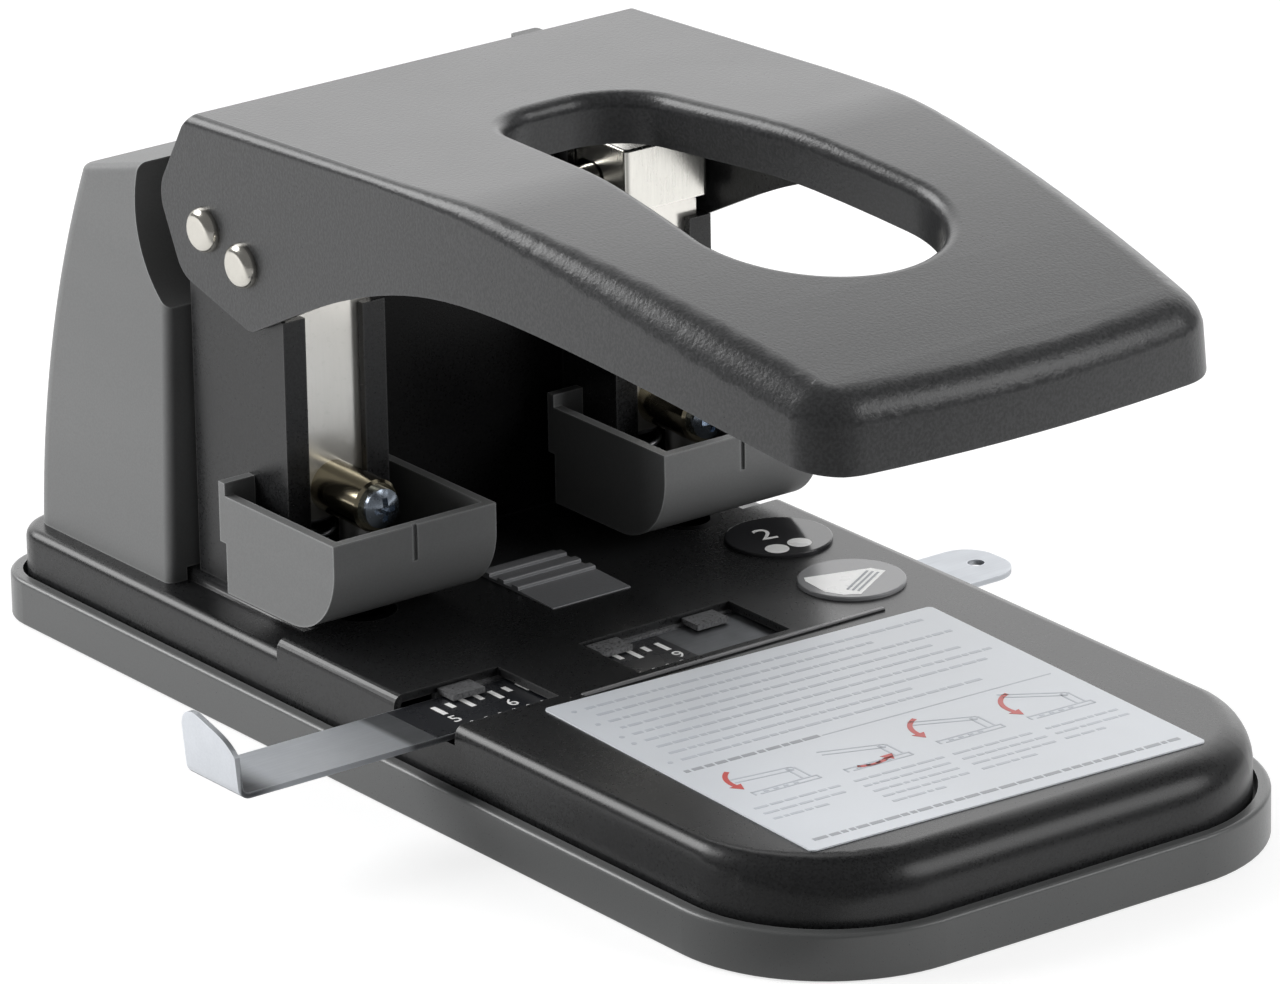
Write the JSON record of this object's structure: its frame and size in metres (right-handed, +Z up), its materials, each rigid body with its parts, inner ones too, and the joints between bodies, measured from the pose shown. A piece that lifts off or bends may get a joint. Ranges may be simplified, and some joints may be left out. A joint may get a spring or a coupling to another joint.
{
  "type": "hole punch",
  "caption": "Desk hole punch with a long lever handle, sprung punch pins in posts, a sliding paper gauge and a tray for the chips.",
  "frame": {"origin": "middle of the chip tray's flat underside", "axes": "+X to the user's right, +Y to the back (the handle tip points to -Y), +Z up"},
  "size_m": [0.1671, 0.235, 0.1071],
  "materials": {
    "black_steel": "satin black coating",
    "textured_black_steel": "dark grey coating with a fine grain",
    "grey_plastic": "mid-grey moulded plastic",
    "plated_steel": "warm nickel plating",
    "zinc_steel": "bluish zinc plating",
    "bright_nickel": "polished nickel",
    "tool_steel": "ground steel",
    "yellow_zinc": "yellow passivated zinc",
    "spring_steel": "drawn wire",
    "label_film": "pale printed film",
    "disc_dark": "dark glossy disc",
    "disc_pale": "pale matt disc"
  },
  "bodies": {
    "tray": {"chip_tray": "grey_plastic"},
    "base": {"deck": "black_steel", "gauge_track": "black_steel", "left_die": "tool_steel", "right_die": "tool_steel", "left_post": "black_steel", "right_post": "black_steel", "cross_plate": "black_steel", "frame_screws": "zinc_steel", "cover_screws": "zinc_steel", "left_return_spring": "spring_steel", "right_return_spring": "spring_steel", "left_guard": "grey_plastic", "right_guard": "grey_plastic", "rear_cover": "grey_plastic", "label_plate": "label_film", "rear_disc": "disc_dark", "front_disc": "disc_pale", "centre_pad": "grey_plastic"},
    "handle": {"handle": "textured_black_steel", "pivot_axle": "bright_nickel", "drive_axle": "bright_nickel"},
    "left_punch": {"left_carrier": "plated_steel", "left_carrier_head": "plated_steel", "left_pin_holder": "yellow_zinc", "left_punch_pin": "tool_steel", "left_clamp_screw": "zinc_steel"},
    "right_punch": {"right_carrier": "plated_steel", "right_carrier_head": "plated_steel", "right_pin_holder": "yellow_zinc", "right_punch_pin": "tool_steel", "right_clamp_screw": "zinc_steel"},
    "gauge": {"gauge": "zinc_steel"}
  },
  "joints": [
    {"name": "base_lift", "type": "slide", "parent": "tray", "child": "base", "axis": [0, 0, 1], "range_m": [0, 0.03]},
    {"name": "handle_hinge", "type": "hinge", "parent": "base", "child": "handle", "pos_m": [0, 0.0584, 0.0839], "axis": [1, 0, 0], "range_deg": [0, 21], "stiffness_Nm_per_rad": 2.2, "springref_deg": -14.32},
    {"name": "left_punch_slide", "type": "slide", "parent": "base", "child": "left_punch", "axis": [0, 0, -1], "range_m": [0, 0.00378], "deforming": ["left_return_spring"]},
    {"name": "right_punch_slide", "type": "slide", "parent": "base", "child": "right_punch", "axis": [0, 0, -1], "range_m": [0, 0.00378], "deforming": ["right_return_spring"]},
    {"name": "gauge_slide", "type": "slide", "parent": "base", "child": "gauge", "axis": [1, 0, 0], "range_m": [-0.008, 0.04]}
  ],
  "couplings": [
    {"joint": "left_punch_slide", "follows": "handle_hinge", "m_per_rad": 0.010316},
    {"joint": "right_punch_slide", "follows": "handle_hinge", "m_per_rad": 0.010316}
  ]
}
